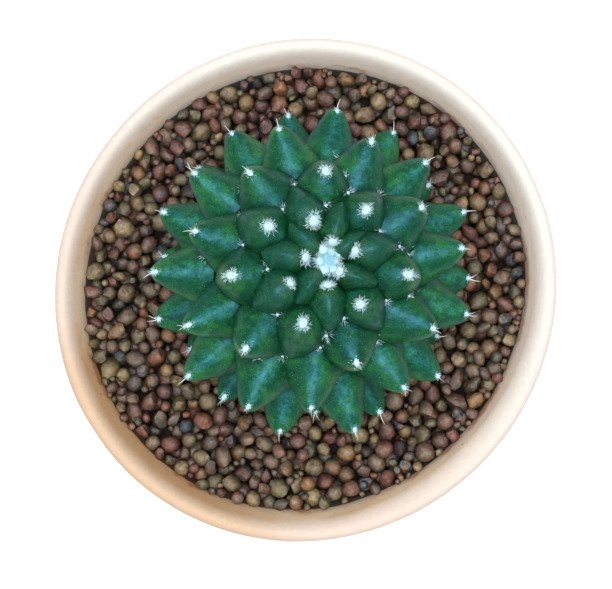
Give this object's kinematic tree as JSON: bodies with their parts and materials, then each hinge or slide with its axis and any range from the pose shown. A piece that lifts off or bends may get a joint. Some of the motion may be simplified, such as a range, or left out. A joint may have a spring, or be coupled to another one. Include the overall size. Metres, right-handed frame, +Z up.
{
  "type": "potted round cactus",
  "caption": "Round cactus of spiral-set, keeled tubercles with woolly tips and short spines, standing in potting soil under rounded pebbles in a plain flared clay pot",
  "frame": {"origin": "centre of the pot's underside, on the surface that it stands on", "axes": "+Z up along the pot's axis; +X to the right and +Y to the top as the plant is seen from above"},
  "size_m": [0.1262, 0.1266, 0.1246],
  "materials": {
    "clay": "matte",
    "soil": "matte",
    "pebbles": "satin",
    "skin": "satin",
    "wool": "matte"
  },
  "bodies": {
    "root": {"pot": "clay", "soil": "soil", "gravel": "pebbles", "cactus": "skin", "crown_wool": "wool"}
  },
  "joints": []
}
